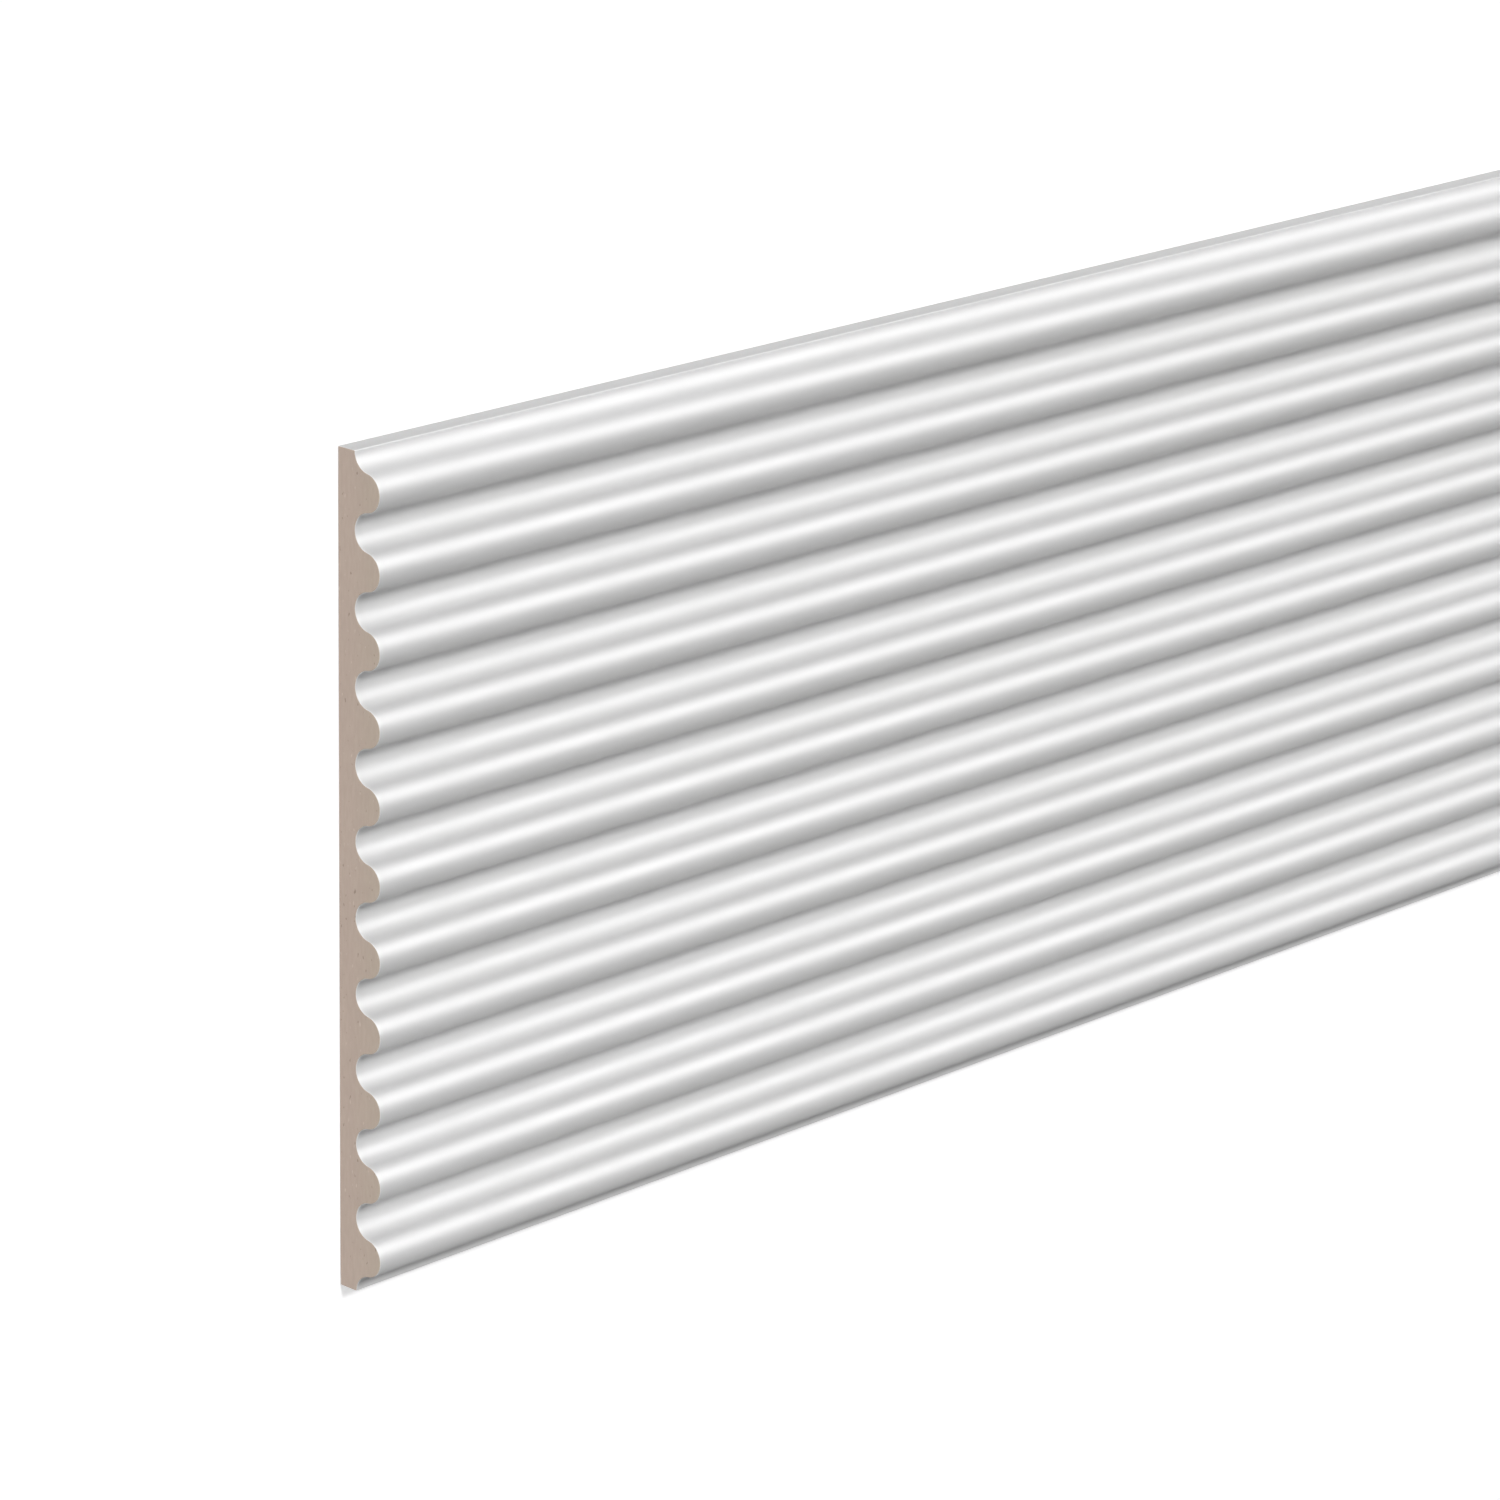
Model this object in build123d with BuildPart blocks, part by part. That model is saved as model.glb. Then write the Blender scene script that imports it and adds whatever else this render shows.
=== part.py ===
from build123d import *
import os

# Wall panel with a rounded wave face, machined from one fibreboard blank.
# Millimetres. X runs along the panel, Y across it, and Z up from its back to its crests.
# It lies on its back, with the origin at the middle of the back face.

# Driving dimensions
panel_length = 2440.0
panel_width = 240.0
panel_thickness = 16.0  # back face to the top of a crest
web_thickness = 6.4  # board left under the floor of a groove
wave_count = 11  # whole waves across the width, from groove floor to groove floor
arris_radius = 0.3  # sanded arris along the two long edges of the face

# The wave, worked out so that the width holds whole waves and both long edges end in a groove floor.
# Two panels butted edge to edge then show one unbroken groove over the joint.
half_width = panel_width / 2
wave_pitch = panel_width / wave_count
quarter_pitch = wave_pitch / 4
mid_height = (panel_thickness + web_thickness) / 2

# The panel
with BuildPart() as panel:
    with BuildSketch(Plane.YZ.offset(-panel_length / 2)) as section:
        with BuildLine():
            Line((-half_width, 0), (half_width, 0))
            # Long edges, and the half groove that each of them cuts
            for side in (-1, 1):
                edge_top = (side * half_width, web_thickness)
                flank = (side * (half_width - quarter_pitch), mid_height)
                Line((side * half_width, 0), edge_top)
                TangentArc(edge_top, flank, tangent=(-side, 0))
            # Crests, each one arc from the middle of one flank to the middle of the next
            for wave in range(wave_count):
                crest = (wave + 0.5) * wave_pitch - half_width
                ThreePointArc(
                    (crest - quarter_pitch, mid_height),
                    (crest, panel_thickness),
                    (crest + quarter_pitch, mid_height),
                )
            # Whole grooves, the same arc turned over, so that face and flank run on smoothly
            for wave in range(1, wave_count):
                groove = wave * wave_pitch - half_width
                ThreePointArc(
                    (groove - quarter_pitch, mid_height),
                    (groove, web_thickness),
                    (groove + quarter_pitch, mid_height),
                )
        make_face()
        # The upper corner of each long edge is eased
        left_edge = section.vertices().group_by(Axis.X)[0].sort_by(Axis.Y)
        right_edge = section.vertices().group_by(Axis.X)[-1].sort_by(Axis.Y)
        fillet([left_edge[-1], right_edge[-1]], arris_radius)
    extrude(amount=panel_length)

os.makedirs("parts", exist_ok=True)
panel.part.label = "panel"
export_step(panel.part, "parts/panel.step")

wave_radius = (quarter_pitch**2 + (mid_height - web_thickness) ** 2) / (panel_thickness - web_thickness)
print(f"wave pitch {wave_pitch:.3f} mm, crest and groove radius {wave_radius:.3f} mm")
print(f"panel volume {panel.part.volume / 1e6:.4f} litres, box {panel.part.bounding_box().size}")
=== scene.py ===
# %% [markdown]
# # A wave-faced wall panel
# The real thing is one long fibreboard plank. A moulder cuts rounded waves along its face, the face and
# the long edges are primed white, and a saw cuts it to length, so brown board shows on the two ends.
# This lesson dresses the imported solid: it lays a finely drawn skin over it, then paints, lights and
# frames it. The frame comes first, because every size below is read from it or hangs on it.

# %% Load the frame
import math

import bpy
import numpy as np
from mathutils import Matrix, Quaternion, Vector


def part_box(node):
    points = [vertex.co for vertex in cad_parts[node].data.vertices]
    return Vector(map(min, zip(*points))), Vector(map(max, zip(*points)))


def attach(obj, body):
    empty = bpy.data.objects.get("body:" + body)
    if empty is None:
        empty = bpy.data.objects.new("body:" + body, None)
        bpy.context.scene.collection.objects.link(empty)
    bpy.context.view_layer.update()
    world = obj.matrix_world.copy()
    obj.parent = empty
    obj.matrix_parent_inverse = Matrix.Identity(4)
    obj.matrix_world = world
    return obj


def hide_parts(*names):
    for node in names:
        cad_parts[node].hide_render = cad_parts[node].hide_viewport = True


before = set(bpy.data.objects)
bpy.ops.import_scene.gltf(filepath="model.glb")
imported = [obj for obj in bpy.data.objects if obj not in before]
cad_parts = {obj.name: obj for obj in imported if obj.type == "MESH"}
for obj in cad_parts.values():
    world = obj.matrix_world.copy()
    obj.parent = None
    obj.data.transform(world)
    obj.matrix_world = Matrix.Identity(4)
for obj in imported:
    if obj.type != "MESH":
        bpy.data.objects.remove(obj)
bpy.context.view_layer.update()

low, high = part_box("panel")
panel_length = high.x - low.x
panel_width = high.y - low.y
panel_thickness = high.z - low.z
half_length = panel_length / 2
half_width = panel_width / 2
print(f"panel {panel_length:.3f} x {panel_width:.3f} x {panel_thickness:.4f} m")

# %% [markdown]
# ## The wave
# The face is a row of round crests and round grooves of one radius, joined on a steep flank with no
# corner. It could be a sine curve, but a moulder's knife is ground to arcs, and arcs keep the flanks as
# steep as they are. Because both arcs have one radius, the lean of the surface swings evenly from
# nothing on a crest to its most on the flank and back to nothing in a groove. So one number, the phase,
# gives the place and the lean together.

# %% The wave as a function of its phase
web_thickness = 0.0064
wave_count = 11
wave_pitch = panel_width / wave_count
wave_depth = panel_thickness - web_thickness
flank_lean = 2 * math.atan2(2 * wave_depth, wave_pitch)
wave_radius = wave_pitch / (4 * math.sin(flank_lean))


def wave_line(phase):
    """Place (y, z) and outward normal (y, z) of the face at each phase. Whole numbers are groove floors.

    In words: the lean grows in step with the phase, from 0 on a crest to flank_lean a quarter wave on,
    and falls back to 0 in the groove. Sideways reach is the radius times the sine of the lean. The drop
    from the crest, or the rise from the groove floor, is the radius times one less the cosine.
    """
    across = phase % 1.0 - 0.5
    side = np.sign(across)
    from_crest = np.abs(across)
    on_crest = from_crest < 0.25
    lean = 4 * flank_lean * np.where(on_crest, from_crest, 0.5 - from_crest)
    reach = wave_radius * np.sin(lean)
    drop = wave_radius * (1 - np.cos(lean))
    crest = (np.floor(phase) + 0.5) * wave_pitch - half_width
    y = crest + side * np.where(on_crest, reach, wave_pitch / 2 - reach)
    z = np.where(on_crest, panel_thickness - drop, web_thickness + drop)
    return y, z, side * np.sin(lean), np.cos(lean)


print(f"flank lean {math.degrees(flank_lean):.1f} deg, wave radius {wave_radius * 1000:.2f} mm")

# %% [markdown]
# ## The outline of the face
# Each long edge cuts a groove at its floor. The corner there is sanded round, or the primer would not
# hold on it. The small arc touches the upright edge on one side and the groove on the other, and that
# fixes its centre.

# %% The outline from one long edge to the other
arris_radius = 0.0003
arris_steps = 6
steps_per_wave = 48

arris_turn = math.asin(arris_radius / (wave_radius + arris_radius))
arris_height = web_thickness + wave_radius - (wave_radius + arris_radius) * math.cos(arris_turn)


def face_outline():
    """Places and normals along the face, as columns: the left arris, the waves and the right arris.

    In words: the arris is a circle's arc that starts in line with the upright edge and ends where its
    direction is that of the groove. The waves start at the phase where the groove has that same direction.
    """
    first_phase = arris_turn / (4 * flank_lean)
    phase = np.linspace(0, wave_count, wave_count * steps_per_wave + 1)
    waves = np.array(wave_line(np.clip(phase, first_phase, wave_count - first_phase)))
    turn = np.linspace(math.pi, math.pi / 2 + arris_turn, arris_steps, endpoint=False)
    normal = np.array([np.cos(turn), np.sin(turn)])
    centre = np.array([[arris_radius - half_width], [arris_height]])
    left = np.vstack([centre + arris_radius * normal, normal])
    right = left[:, ::-1] * np.array([[-1], [1], [-1], [1]])
    return np.hstack([left, waves, right])


outline = face_outline()
print(f"outline of {outline.shape[1]} points, highest {outline[1].max() * 1000:.2f} mm")

# %% [markdown]
# ## Stations along the panel
# The outline is carried along the length. At the sawn ends the fresh arris is rubbed down, through the
# coat to the board, so there the outline shrinks by a hair, round a quarter circle. A bevel modifier
# could cut it, but the outline's own normals already say which way to shrink. A station is a place
# along the length with the amount by which the outline has shrunk. One more station close to each end
# keeps the shading of the long straight part from leaning into that round.

# %% Stations with their inset
end_arris = 0.00025
end_steps = 6
straight_spans = 12
straight_gap = 3 * end_arris
rise = np.linspace(0, math.pi / 2, end_steps + 1)
end_places = half_length - end_arris * (1 - np.sin(rise))
end_insets = end_arris * (1 - np.cos(rise))
straight_reach = half_length - straight_gap
straight_places = np.linspace(-straight_reach, straight_reach, straight_spans + 1)
station_x = np.concatenate([-end_places[::-1], straight_places, end_places])
station_inset = np.concatenate([end_insets[::-1], 0 * straight_places, end_insets])
print(f"{len(station_x)} stations")

# %% [markdown]
# ## The six sides
# The panel is a block with six sides, and each side is a grid worked out by one function of two
# parameters. The face is the outline at every station, the back is the same grid pressed flat on the
# floor, and the edges and ends stand between the two in rows. Neighbouring grids share their border
# points, so the welded skin is closed.

# %% Six grids
row_share = np.array([0.0, 0.2, 0.4, 0.6, 0.8, 0.92, 0.98, 1.0])
face_y = outline[0] - np.outer(station_inset, outline[2])
face_z = outline[1] - np.outer(station_inset, outline[3])
face_x = np.broadcast_to(station_x[:, None], face_y.shape)


def upright_grid(x, y, z):
    """A wall under a line of points: each point's height is shared out over the rows, floor first."""
    height = np.outer(z, row_share)
    return np.dstack(np.broadcast_arrays(x[:, None], y[:, None], height))


grids = {
    "face": np.dstack([face_x, face_y, face_z]),
    "back": np.dstack([face_x, face_y, 0 * face_z]),
    "left_edge": upright_grid(station_x, face_y[:, 0], face_z[:, 0]),
    "right_edge": upright_grid(station_x, face_y[:, -1], face_z[:, -1]),
    "near_end": upright_grid(face_x[-1], face_y[-1], face_z[-1]),
    "far_end": upright_grid(face_x[0], face_y[0], face_z[0]),
}
print({name: grid.shape[:2] for name, grid in grids.items()})

# %% [markdown]
# ## One welded skin
# A grid's quads follow from its shape alone, and a grid that faces the other way has its quads turned
# over. Points that fall in one place become one vertex. Blender can merge by distance, but numpy's
# unique does it on the whole array at once. Each quad gets its finish, coat or bare board. Each side
# also gets its own rectangle on a flat map, with more room for the ends, where the brown board has fine
# flecks, than their small area would earn.

# %% Weld the grids into a mesh
WHITE_COAT, RAW_BOARD = 0, 1
turned_over = {"back", "right_edge", "far_end"}
coated_sides = {"face", "left_edge", "right_edge"}
rubbed_through = 0.3 * end_arris
map_rows = {
    "face": (0.01, 0.41),
    "back": (0.43, 0.65),
    "near_end": (0.67, 0.80),
    "far_end": (0.82, 0.95),
    "left_edge": (0.96, 0.972),
    "right_edge": (0.98, 0.992),
}
map_margin = 0.004
count_share = 0.1
weld_grain = 1e-7
sharp_turn = math.radians(35)


def grid_quads(rows, columns, turn_over):
    """Corner numbers of a grid's quads: a point, the next row's, the diagonal one, the next column's."""
    number = np.arange(rows * columns).reshape(rows, columns)
    corners = [number[:-1, :-1], number[1:, :-1], number[1:, 1:], number[:-1, 1:]]
    quads = np.stack(corners, axis=-1).reshape(-1, 4)
    return quads[:, ::-1] if turn_over else quads


def side_finish(name, rows, columns):
    """Finish of each quad of a side: bare board on the back, the ends and the rub, else the coat."""
    middle_inset = (station_inset[1:] + station_inset[:-1]) / 2
    bare = middle_inset > rubbed_through if name in coated_sides else np.full(rows - 1, True)
    return np.repeat(np.where(bare, RAW_BOARD, WHITE_COAT), columns - 1)


def step_shares(grid, axis):
    """Share of the way for each line of a grid: its mean step lengths summed up, with a part by count.

    The part by count keeps the narrow steps of the rubbed ends wide enough on the map to be painted.
    """
    step = np.linalg.norm(np.diff(grid, axis=axis), axis=-1).mean(axis=1 - axis)
    by_length = np.append(0.0, np.cumsum(step)) / step.sum()
    by_count = np.linspace(0.0, 1.0, len(by_length))
    return (1 - count_share) * by_length + count_share * by_count


def grid_map(grid, low_row, high_row):
    """A flat map of a grid: the share along it goes across the map, and the share over it goes up."""
    across = map_margin + (1 - 2 * map_margin) * step_shares(grid, axis=0)
    up = low_row + (high_row - low_row) * step_shares(grid, axis=1)
    return np.stack(np.meshgrid(across, up, indexing="ij"), axis=-1).reshape(-1, 2)


points, quads, places_on_map, finishes = [], [], [], []
start = 0
for name, grid in grids.items():
    rows, columns = grid.shape[:2]
    side_quads = grid_quads(rows, columns, name in turned_over)
    points.append(grid.reshape(-1, 3))
    quads.append(side_quads + start)
    places_on_map.append(grid_map(grid, *map_rows[name])[side_quads.ravel()])
    finishes.append(side_finish(name, rows, columns))
    start += rows * columns
points = np.concatenate(points)
grain_places = np.round(points / weld_grain).astype(np.int64)
_, first_seen, welded = np.unique(grain_places, axis=0, return_index=True, return_inverse=True)
places = points[first_seen]
quads = welded.ravel()[np.concatenate(quads)]
skin = bpy.data.meshes.new("panel_board")
skin.from_pydata(places.tolist(), [], quads.tolist())
skin.polygons.foreach_set("material_index", np.concatenate(finishes).astype(np.int32))
bake_map = skin.uv_layers.new(name="OFBake")
bake_map.uv.foreach_set("vector", np.concatenate(places_on_map).astype(np.float32).ravel())
skin.shade_smooth()
skin.set_sharp_from_angle(angle=sharp_turn)
skin.update()
print(f"{len(points)} points welded to {len(skin.vertices)} vertices, {len(skin.polygons)} quads")

# %% [markdown]
# ## Closed and outward
# A skin that stands for a solid has no gaps. That could be judged by eye, but counting is surer: each
# side of a quad must belong to exactly two quads. The volume, summed from the cones between the origin
# and the quads, has a plus sign when the quads face outwards. Then the skin becomes an object that
# rides on the frame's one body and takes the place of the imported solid.

# %% Measure the skin
sides = np.sort(np.stack([quads, np.roll(quads, -1, axis=1)], axis=-1).reshape(-1, 2), axis=1)
_, uses = np.unique(sides, axis=0, return_counts=True)
corner_a, corner_b, corner_c, corner_d = (places[quads[:, corner]] for corner in range(4))
cones = np.cross(corner_a, corner_b) + np.cross(corner_b, corner_c)
cones += np.cross(corner_c, corner_d) + np.cross(corner_d, corner_a)
volume = np.einsum("ij,ij->", cones, (corner_a + corner_b + corner_c + corner_d) / 4) / 6
print(f"each side of a quad is shared by {uses.min()} to {uses.max()} quads")
print(f"volume {volume * 1000:+.4f} litres")

# %% The panel object
panel = bpy.data.objects.new("panel_board", skin)
bpy.context.scene.collection.objects.link(panel)
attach(panel, "root")
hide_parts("panel")

# %% [markdown]
# ## Helpers for the finishes
# A finish is a small net of nodes. A few helpers keep that short: they add a node and set its sockets
# by name, make a noise pattern on the object's own coordinates, stretched as the fibres or the sanding
# run, and carry or mix values.

# %% Node helpers
def new_finish(name):
    """A material with nothing but its principled shader, together with its node tree and that shader."""
    material = bpy.data.materials.new(name)
    material.use_nodes = True
    return material, material.node_tree, material.node_tree.nodes["Principled BSDF"]


def feed(tree, socket, value):
    """Joins a socket to another node's output, or sets it to a plain value."""
    if isinstance(value, bpy.types.NodeSocket):
        tree.links.new(value, socket)
    else:
        socket.default_value = value


def add(tree, kind, **sockets):
    """A new node of that kind with the named sockets fed."""
    made = tree.nodes.new(kind)
    for name, value in sockets.items():
        feed(tree, made.inputs[name.replace("_", " ")], value)
    return made


def sum_of(tree, operation, *values):
    """One step of arithmetic on values or other nodes' outputs."""
    made = tree.nodes.new("ShaderNodeMath")
    made.operation = operation
    for socket, value in zip(made.inputs, values):
        feed(tree, socket, value)
    return made.outputs["Value"]


def pattern(tree, per_metre, detail=2.0):
    """Noise on object coordinates, with that many blots to the metre along X, Y and Z."""
    place = add(tree, "ShaderNodeTexCoord").outputs["Object"]
    stretched = add(tree, "ShaderNodeMapping", Vector=place, Scale=per_metre).outputs["Vector"]
    return add(tree, "ShaderNodeTexNoise", Vector=stretched, Scale=1.0, Detail=detail).outputs["Fac"]


def spread(tree, value, from_low, from_high, to_low, to_high):
    """Carries a value from one range to another, held inside the second."""
    ends = {"From_Min": from_low, "From_Max": from_high, "To_Min": to_low, "To_Max": to_high}
    return add(tree, "ShaderNodeMapRange", Value=value, **ends).outputs["Result"]


def blend_colours(tree, share, first, second):
    """A mix of two colours by a share from 0 to 1."""
    made = tree.nodes.new("ShaderNodeMix")
    made.data_type = "RGBA"
    inputs = {socket.identifier: socket for socket in made.inputs}
    for name, value in (("Factor_Float", share), ("A_Color", first), ("B_Color", second)):
        feed(tree, inputs[name], value)
    return next(socket for socket in made.outputs if socket.identifier == "Result_Color")


# %% [markdown]
# ## White primer
# The coat is sprayed and lightly sanded: white, even and a little silky. Up close it has a faint
# orange-peel texture and hair-fine sanding lines along the panel, and its white drifts by a shade from
# place to place. All of that is far too shallow to model, so it is bump and a whisper of colour. The
# coat's index is set above a usual paint's 1.5. A dimmer card then gives it the same sheen, and the face
# doesn't glare when it is seen along its length.

# %% The white primer
warm_white, cool_white = (0.720, 0.718, 0.716, 1.0), (0.740, 0.738, 0.740, 1.0)
coat_index = 1.8
coat_roughness = (0.49, 0.55)
middle_of_noise = (0.3, 0.7)
drift_blots = (5.0, 30.0, 30.0)
silk_blots = (40.0, 40.0, 40.0)
peel_blots = (620.0, 620.0, 620.0)
sanding_blots = (9.0, 1500.0, 1500.0)


def bumps(tree, height, strength, distance, **under):
    """A bump of that height pattern, on top of another bump where one is given as Normal."""
    made = add(tree, "ShaderNodeBump", Height=height, Strength=strength, Distance=distance, **under)
    return made.outputs["Normal"]


def white_primer():
    """The sprayed coat on the face and the long edges."""
    material, tree, shader = new_finish("white_primer")
    drift = spread(tree, pattern(tree, drift_blots), *middle_of_noise, 0.0, 1.0)
    silk = spread(tree, pattern(tree, silk_blots), *middle_of_noise, *coat_roughness)
    peel = bumps(tree, pattern(tree, peel_blots), strength=0.05, distance=0.0002)
    lines = bumps(tree, pattern(tree, sanding_blots), strength=0.03, distance=0.0001, Normal=peel)
    feed(tree, shader.inputs["Base Color"], blend_colours(tree, drift, warm_white, cool_white))
    feed(tree, shader.inputs["Roughness"], silk)
    feed(tree, shader.inputs["Normal"], lines)
    shader.inputs["IOR"].default_value = coat_index
    return material


# %% [markdown]
# ## Raw fibreboard
# The saw leaves pressed wood fibre bare: a flat grey brown with short flecks that lie along the width,
# because the fibres are pressed flat in the board, a few dark bark specks and pale shives, and soft
# clouds. Towards the face the board is a touch more yellow. The back is the same board, sanded. A
# breath of overspray from the long edges lies along its two sides, ragged where the mist ran out. An
# image could show all this, but noise on the object's own coordinates has no seams and runs on round
# the edges. Each kind of fleck is one layer of noise, mixed over the ones before it.

# %% The raw board
core_brown, face_brown = (0.452, 0.365, 0.312, 1.0), (0.440, 0.378, 0.303, 1.0)
overspray_white = (0.700, 0.690, 0.680, 1.0)
yellow_from, most_yellow = 0.3 * panel_thickness, 0.8
mist_reach = 0.012
mist_height, most_mist = 0.0004, 0.85
ragged_blots = (30.0, 140.0, 140.0)
fuzz_blots = (1400.0, 500.0, 1600.0)
# Each layer: its blots to the metre, its detail, where its noise starts and is full, its most, its colour
board_layers = {
    "clouds": ((90.0, 50.0, 130.0), 2.0, (0.30, 0.70), 0.55, (0.478, 0.392, 0.332, 1.0)),
    "fibres": ((900.0, 220.0, 1100.0), 3.0, (0.35, 0.65), 0.35, (0.400, 0.318, 0.268, 1.0)),
    "specks": ((700.0, 450.0, 900.0), 1.0, (0.70, 0.76), 0.70, (0.250, 0.195, 0.160, 1.0)),
    "shives": ((1000.0, 380.0, 1300.0), 1.0, (0.71, 0.77), 0.60, (0.620, 0.545, 0.470, 1.0)),
}


def overspray(tree, place):
    """Share of white mist on the back: most at a long edge, ragged, and none beyond mist_reach.

    It ends within mist_height above the back, so the sawn ends stay bare but for a hair at their foot.
    """
    off_centre = sum_of(tree, "ABSOLUTE", place["Y"])
    near_edge = spread(tree, off_centre, half_width - mist_reach, half_width, 0.0, 1.0)
    ragged = spread(tree, pattern(tree, ragged_blots, detail=4.0), *middle_of_noise, 0.0, 1.0)
    on_back = spread(tree, place["Z"], 0.0, mist_height, most_mist, 0.0)
    return sum_of(tree, "MULTIPLY", sum_of(tree, "MULTIPLY", near_edge, ragged), on_back)


def raw_fibreboard():
    """Bare pressed fibre on the sawn ends, their rubbed arris and the back."""
    material, tree, shader = new_finish("raw_fibreboard")
    object_place = add(tree, "ShaderNodeTexCoord").outputs["Object"]
    place = add(tree, "ShaderNodeSeparateXYZ", Vector=object_place).outputs
    towards_face = spread(tree, place["Z"], yellow_from, panel_thickness, 0.0, most_yellow)
    board = blend_colours(tree, towards_face, core_brown, face_brown)
    for blots, detail, cut, most, colour in board_layers.values():
        share = spread(tree, pattern(tree, blots, detail=detail), *cut, 0.0, most)
        board = blend_colours(tree, share, board, colour)
    board = blend_colours(tree, overspray(tree, place), board, overspray_white)
    fuzz = bumps(tree, pattern(tree, fuzz_blots, detail=3.0), strength=0.25, distance=0.0002)
    feed(tree, shader.inputs["Base Color"], board)
    feed(tree, shader.inputs["Normal"], fuzz)
    shader.inputs["Roughness"].default_value = 0.9
    shader.inputs["Specular IOR Level"].default_value = 0.2
    return material


skin.materials.append(white_primer())
skin.materials.append(raw_fibreboard())
print("finishes:", [material.name for material in skin.materials])

# %% [markdown]
# ## Floor
# The panel lies on a plain pale floor. More lamps could make it white, but they would wash out the
# panel. So the floor is matt, and a glow that only the camera sees lifts it to white. The glow is added
# to the lit colour and doesn't replace it, so the panel's shadow stays, and no extra light reaches the
# panel.

# %% The floor
floor_reach = 40.0
floor_gap = 0.0002
floor_grey, floor_glow = 0.65, 0.58


def seen_rays(tree):
    """1 for rays from the camera or through a clear material, and 0 for rays that light the panel."""
    path = add(tree, "ShaderNodeLightPath").outputs
    return sum_of(tree, "MAXIMUM", path["Is Camera Ray"], path["Is Transmission Ray"])


def pale_floor():
    """A matt grey, with a glow for seen rays only."""
    material, tree, shader = new_finish("pale_floor")
    tree.nodes.remove(shader)
    matt = add(tree, "ShaderNodeBsdfDiffuse", Color=(floor_grey, floor_grey, floor_grey, 1.0))
    strength = spread(tree, seen_rays(tree), 0.0, 1.0, 0.0, floor_glow)
    lift = add(tree, "ShaderNodeEmission", Color=(1.0, 1.0, 1.0, 1.0), Strength=strength)
    both = tree.nodes.new("ShaderNodeAddShader")
    feed(tree, both.inputs[0], matt.outputs["BSDF"])
    feed(tree, both.inputs[1], lift.outputs["Emission"])
    feed(tree, tree.nodes["Material Output"].inputs["Surface"], both.outputs["Shader"])
    return material


sweep = np.array([-floor_reach / 2, floor_reach / 2])
floor_grid = np.dstack([*np.meshgrid(sweep, sweep, indexing="ij"), np.full((2, 2), -floor_gap)])
floor_mesh = bpy.data.meshes.new("floor")
floor_mesh.from_pydata(floor_grid.reshape(-1, 3).tolist(), [], grid_quads(2, 2, False).tolist())
floor_mesh.materials.append(pale_floor())
floor = bpy.data.objects.new("floor", floor_mesh)
bpy.context.scene.collection.objects.link(floor)
print(f"floor {floor_reach:.0f} m wide, facing {tuple(floor_mesh.polygons[0].normal)}")

# %% [markdown]
# ## Light
# A soft key hangs high over the panel. It leans to the left edge, so each wave has a bright side and a
# dark side, and a weak fill from the other side keeps the dark side from closing up. The sawn ends and
# the left edge stand upright and would be dim, so a lamp stands low before each of them and only grazes
# the face. The silky coat also mirrors a big pale card, high on the left towards the far end. A card
# gives hardly any light of its own, so the lamp that plays it is seen by gloss rays alone: it draws the
# broad sheen on each wave and lights nothing. Suns with a disc do all this evenly along the whole
# length, which lamps close by would not. The room is white to look at and lends the panel hardly any
# light.

# %% Key, fill, low lamps, card and room
def soft_sun(name, lean_across, lean_along, strength, disc):
    """A sun with a wide disc, leaning from straight above to the left edge and then to the near end."""
    across, along = math.radians(lean_across), math.radians(lean_along)
    upright = math.cos(along)
    comes_from = Vector((math.sin(along), -upright * math.sin(across), upright * math.cos(across)))
    lamp = bpy.data.lights.new(name, "SUN")
    lamp.energy = strength
    lamp.angle = math.radians(disc)
    sun = bpy.data.objects.new(name, lamp)
    sun.rotation_mode = "QUATERNION"
    sun.rotation_quaternion = comes_from.to_track_quat("Z", "Y")
    bpy.context.scene.collection.objects.link(sun)
    print(f"{name} from {tuple(round(part, 3) for part in comes_from)}")
    return sun


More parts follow.
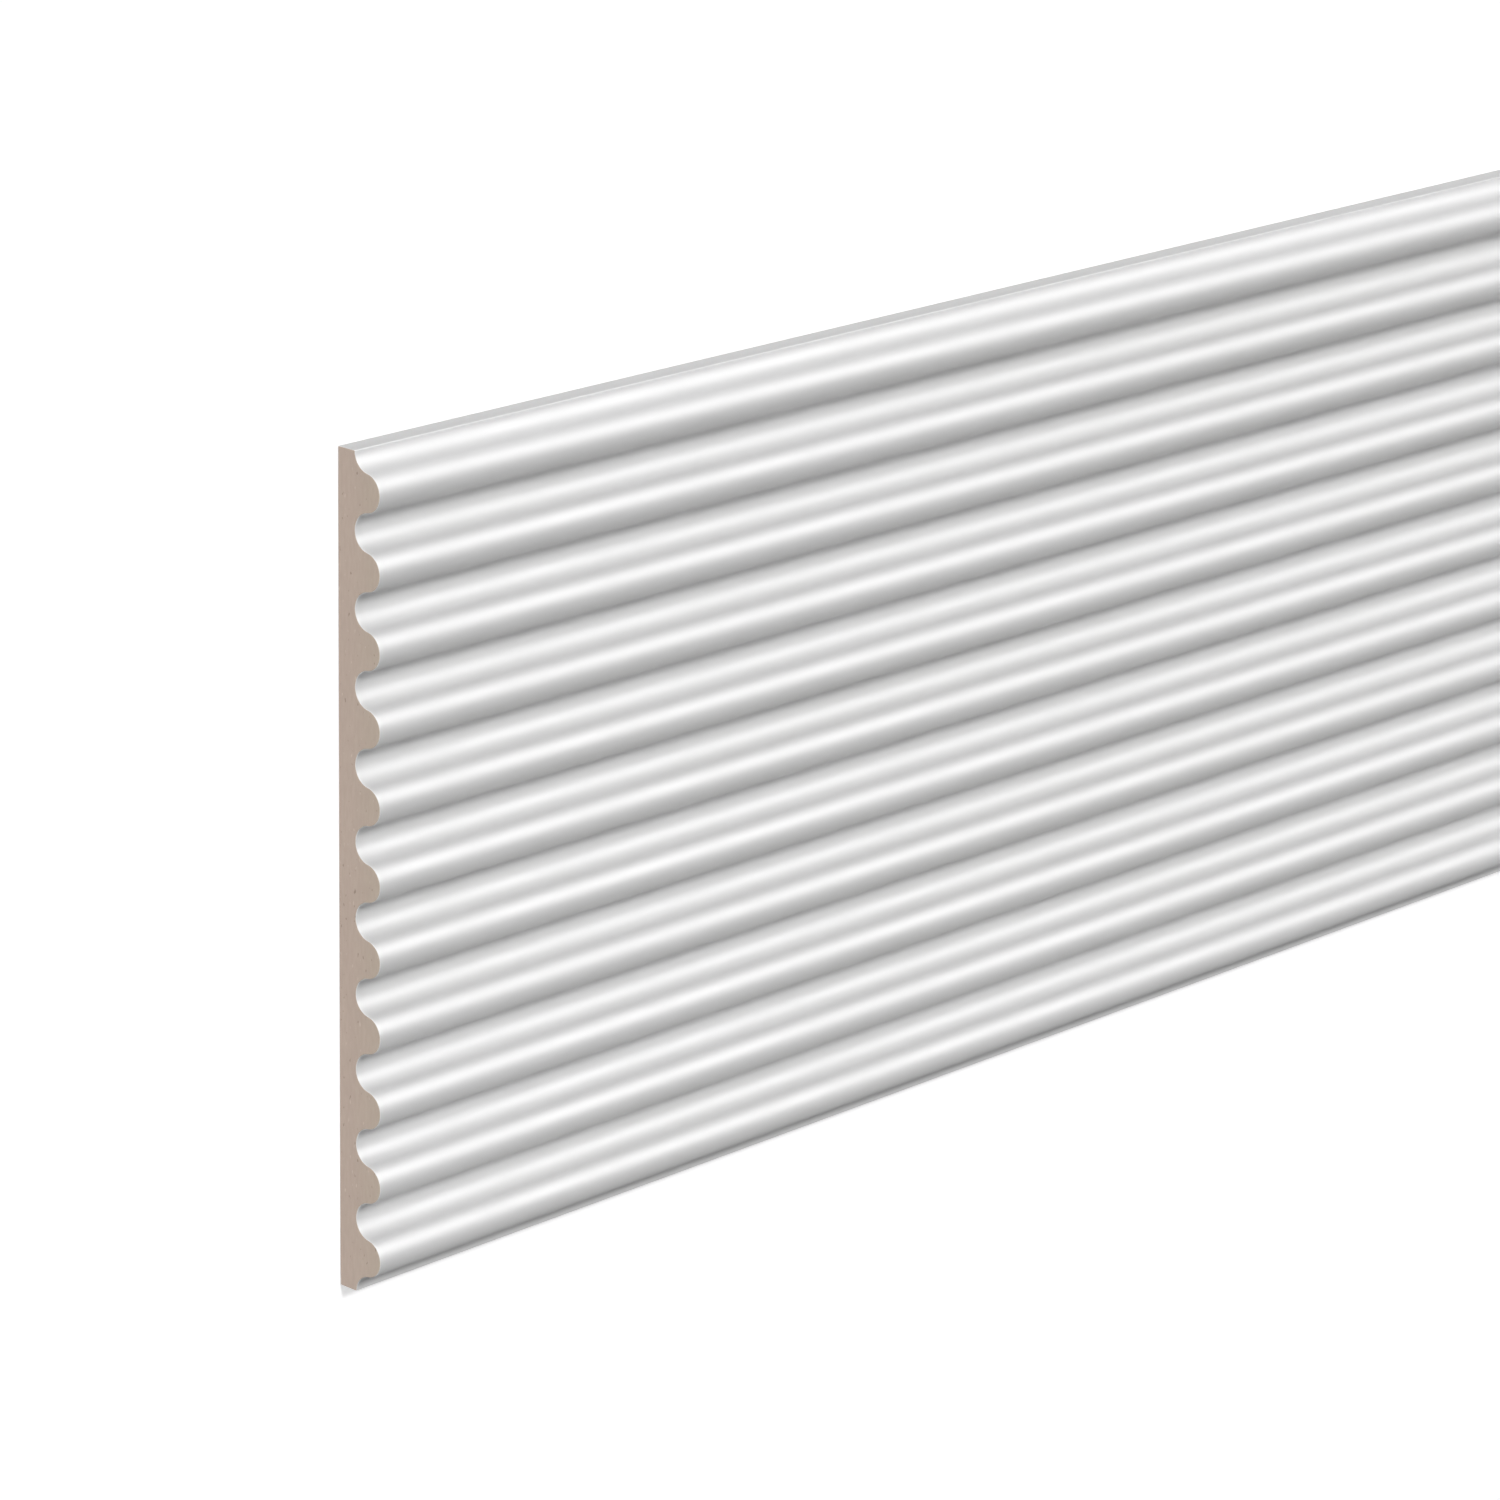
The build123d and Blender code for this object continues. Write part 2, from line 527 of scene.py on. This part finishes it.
soft_sun("key", lean_across=33, lean_along=6, strength=2.2, disc=14)
soft_sun("fill", lean_across=-60, lean_along=-10, strength=0.35, disc=60)
soft_sun("near_end_lamp", lean_across=40, lean_along=86, strength=2.04, disc=6)
soft_sun("far_end_lamp", lean_across=-40, lean_along=-86, strength=1.6, disc=6)
soft_sun("left_lamp", lean_across=84, lean_along=0, strength=0.34, disc=12)
card = soft_sun("card", lean_across=44, lean_along=-24, strength=4.6, disc=54)
card.visible_diffuse = False

room_strength = 0.02
room = bpy.data.worlds.new("room")
room.use_nodes = True
room_light = room.node_tree.nodes["Background"]
room_light.inputs["Color"].default_value = (1.0, 1.0, 1.0, 1.0)
seen_or_lit = spread(room.node_tree, seen_rays(room.node_tree), 0.0, 1.0, room_strength, 1.0)
feed(room.node_tree, room_light.inputs["Strength"], seen_or_lit)
bpy.context.scene.world = room

# %% [markdown]
# ## Camera
# The camera looks down on the near end with a long lens. Its axis meets the floor on the panel's
# centreline a hand's breadth in from the end, and it is rolled so that the sawn end stands upright in
# the picture and the panel runs off to the right.

# %% The camera
view_azimuth = math.radians(66.334)
view_elevation = math.radians(40.785)
view_roll = math.radians(107.016)
view_distance = 1.79785
aim_from_end = 0.16131
lens = 149.35
sensor_width = 36.0

aim = Vector((half_length - aim_from_end, 0.0, 0.0))
back = Vector(
    (
        math.sin(view_azimuth) * math.cos(view_elevation),
        -math.cos(view_azimuth) * math.cos(view_elevation),
        math.sin(view_elevation),
    )
)
camera_data = bpy.data.cameras.new("camera")
camera_data.lens = lens
camera_data.sensor_width = sensor_width
camera = bpy.data.objects.new("camera", camera_data)
camera.location = aim + back * view_distance
camera.rotation_mode = "QUATERNION"
camera.rotation_quaternion = (-back).to_track_quat("-Z", "Y") @ Quaternion((0.0, 0.0, 1.0), view_roll)
bpy.context.scene.collection.objects.link(camera)
bpy.context.scene.camera = camera
bpy.context.scene.view_settings.view_transform = "Standard"
print(f"camera at {tuple(round(part, 4) for part in camera.location)}")
